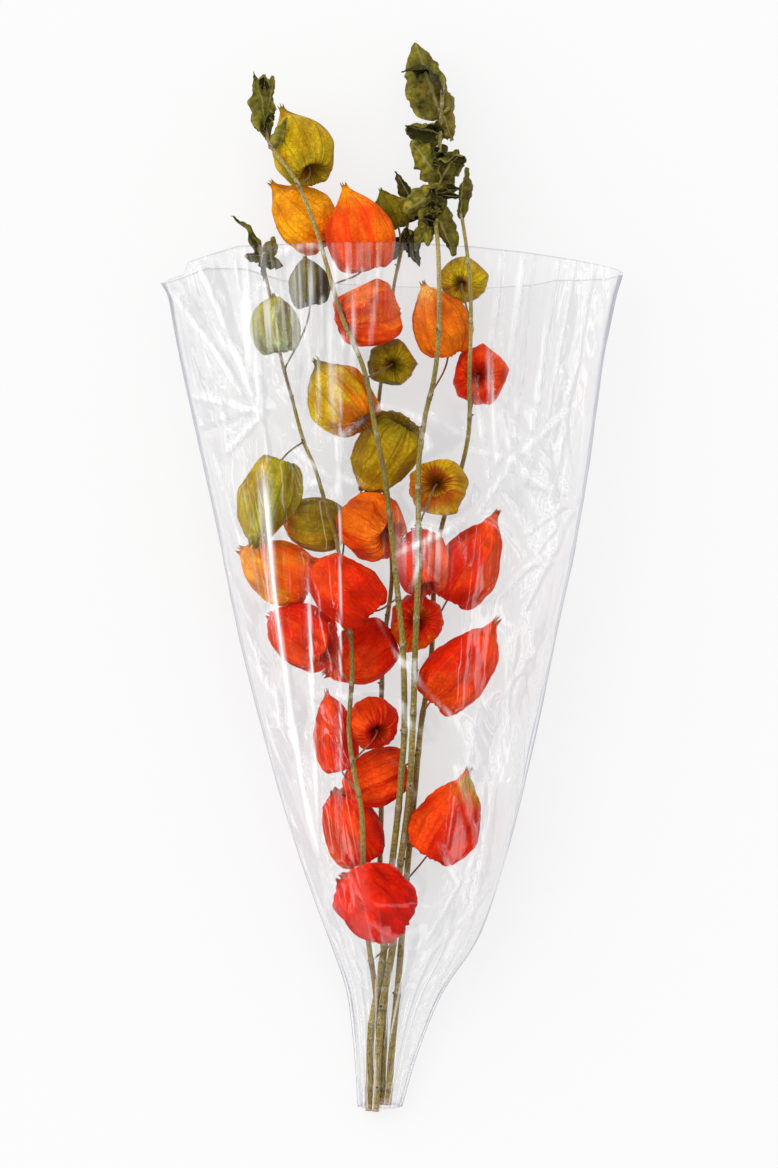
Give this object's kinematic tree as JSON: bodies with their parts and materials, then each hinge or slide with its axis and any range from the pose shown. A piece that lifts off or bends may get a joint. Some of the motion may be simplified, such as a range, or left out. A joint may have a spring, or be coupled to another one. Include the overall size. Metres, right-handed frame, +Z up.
{
  "type": "dried physalis lantern bouquet in a clear sleeve",
  "caption": "Dried stems that carry papery orange, red and olive husks and curled leaves, laid together in a tapering clear film sleeve that is open at its mouth and foot.",
  "frame": {"origin": "on the surface that the bouquet lies on, under the middle of its bounding box", "axes": "+Z up from that surface, +Y along the bouquet from the cut stem ends to the leafy tops, +X across it"},
  "size_m": [0.299, 0.7002, 0.1036],
  "materials": {
    "lantern_red": "dry papery husk, red, translucent",
    "lantern_orange": "dry papery husk, orange, translucent",
    "lantern_amber": "dry papery husk, amber to yellow, translucent",
    "lantern_olive": "dry papery husk, olive with orange between its ribs",
    "lantern_green": "dry papery husk, unripe dark green",
    "lantern_lime": "dry papery husk, unripe yellow-green",
    "stem_bark": "dry olive-tan stem with curled olive leaves",
    "clear_film": "clear crinkled cellophane film"
  },
  "bodies": {
    "root": {"lantern_01": "lantern_olive", "lantern_02": "lantern_amber", "lantern_03": "lantern_orange", "lantern_04": "lantern_green", "lantern_05": "lantern_lime", "lantern_06": "lantern_red", "lantern_07": "lantern_orange", "lantern_08": "lantern_olive", "lantern_09": "lantern_red", "lantern_10": "lantern_green", "lantern_11": "lantern_amber", "lantern_12": "lantern_olive", "lantern_13": "lantern_olive", "lantern_14": "lantern_lime", "lantern_15": "lantern_olive", "lantern_16": "lantern_orange", "lantern_17": "lantern_red", "lantern_18": "lantern_red", "lantern_19": "lantern_orange", "lantern_20": "lantern_red", "lantern_21": "lantern_red", "lantern_22": "lantern_orange", "lantern_23": "lantern_red", "lantern_24": "lantern_red", "lantern_25": "lantern_red", "lantern_26": "lantern_red", "lantern_27": "lantern_red", "lantern_28": "lantern_red", "lantern_29": "lantern_red", "lantern_30": "lantern_red", "lantern_31": "lantern_green", "stem_1": "stem_bark", "stem_2": "stem_bark", "stem_3": "stem_bark", "stem_4": "stem_bark", "stem_5": "stem_bark", "sleeve": "clear_film"}
  },
  "joints": []
}
